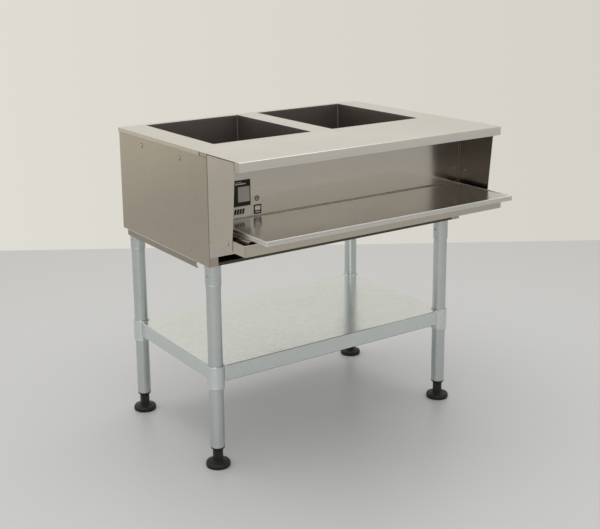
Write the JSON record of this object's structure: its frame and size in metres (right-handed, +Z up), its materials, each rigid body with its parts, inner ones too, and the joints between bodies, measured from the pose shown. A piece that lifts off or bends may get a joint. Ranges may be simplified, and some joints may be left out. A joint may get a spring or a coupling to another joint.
{
  "type": "heated serving table",
  "caption": "Free-standing heated serving table with open rectangular wells, a front ledge over a shelf space with a pull-out tray, an undershelf and height-adjustable feet.",
  "frame": {"origin": "on the floor, under the centre of the whole table with its tray pushed in and its feet screwed in", "axes": "+Z up, +Y from the front ledge towards the back of the body, +X to the right of a person who stands at the front"},
  "size_m": [0.9016, 0.787, 0.914],
  "materials": {
    "top_steel": "brushed, softly reflective",
    "body_steel": "satin stainless sheet",
    "plate_steel": "satin stainless sheet",
    "well_steel": "drawn stainless, darkened by heat",
    "tray_steel": "bright rolled stainless",
    "galvanised": "dull galvanised",
    "screw_steel": "turned steel",
    "black_plastic": "moulded, matte",
    "plate_black": "printed film, no text",
    "plate_silver": "anodised, no text",
    "element_sheath": "oxidised sheath",
    "mineral_wool": "pressed fibre",
    "box_grey": "zinc-plated box"
  },
  "bodies": {
    "table": {"back_panel": "body_steel", "bottom_pan": "body_steel", "cable_gland": "black_plastic", "data_plate": "plate_black", "end_plate_left": "plate_steel", "end_plate_right": "plate_steel", "foot_insert_back_left": "black_plastic", "foot_insert_back_right": "black_plastic", "foot_insert_front_left": "black_plastic", "foot_insert_front_right": "black_plastic", "front_panel": "body_steel", "heating_element_left": "element_sheath", "heating_element_right": "element_sheath", "leg_socket_back_left": "galvanised", "leg_socket_back_right": "galvanised", "leg_socket_front_left": "galvanised", "leg_socket_front_right": "galvanised", "leg_tube_back_left": "galvanised", "leg_tube_back_right": "galvanised", "leg_tube_front_left": "galvanised", "leg_tube_front_right": "galvanised", "lower_plate": "plate_silver", "pan_screw_left": "screw_steel", "pan_screw_right": "screw_steel", "plate_screw_left": "screw_steel", "plate_screw_right": "screw_steel", "round_label": "plate_silver", "set_screw_back_left": "screw_steel", "set_screw_back_right": "screw_steel", "set_screw_front_left": "screw_steel", "set_screw_front_right": "screw_steel", "shelf_collar_back_left": "galvanised", "shelf_collar_back_right": "galvanised", "shelf_collar_front_left": "galvanised", "shelf_collar_front_right": "galvanised", "side_panel_left": "body_steel", "side_panel_right": "body_steel", "side_rail_left": "body_steel", "side_rail_right": "body_steel", "square_label": "plate_black", "support_pan": "plate_steel", "terminal_box": "box_grey", "terminal_cover": "box_grey", "thermostat_left": "box_grey", "thermostat_right": "box_grey", "top_sheet": "top_steel", "tray_support_left": "body_steel", "tray_support_right": "body_steel", "undershelf": "galvanised", "well_jacket_left": "mineral_wool", "well_jacket_right": "mineral_wool", "well_liner_left": "well_steel", "well_liner_right": "well_steel", "work_ledge": "top_steel"},
    "tray": {"tray": "tray_steel"},
    "foot_front_left": {"foot_front_left": "black_plastic"},
    "foot_front_right": {"foot_front_right": "black_plastic"},
    "foot_back_left": {"foot_back_left": "black_plastic"},
    "foot_back_right": {"foot_back_right": "black_plastic"}
  },
  "joints": [
    {"name": "tray_slide", "type": "slide", "parent": "table", "child": "tray", "axis": [0, -1, 0], "range_m": [0, 0.12]},
    {"name": "foot_height_front_left", "type": "slide", "parent": "table", "child": "foot_front_left", "axis": [0, 0, -1], "range_m": [0, 0.025]},
    {"name": "foot_height_front_right", "type": "slide", "parent": "table", "child": "foot_front_right", "axis": [0, 0, -1], "range_m": [0, 0.025]},
    {"name": "foot_height_back_left", "type": "slide", "parent": "table", "child": "foot_back_left", "axis": [0, 0, -1], "range_m": [0, 0.025]},
    {"name": "foot_height_back_right", "type": "slide", "parent": "table", "child": "foot_back_right", "axis": [0, 0, -1], "range_m": [0, 0.025]}
  ]
}
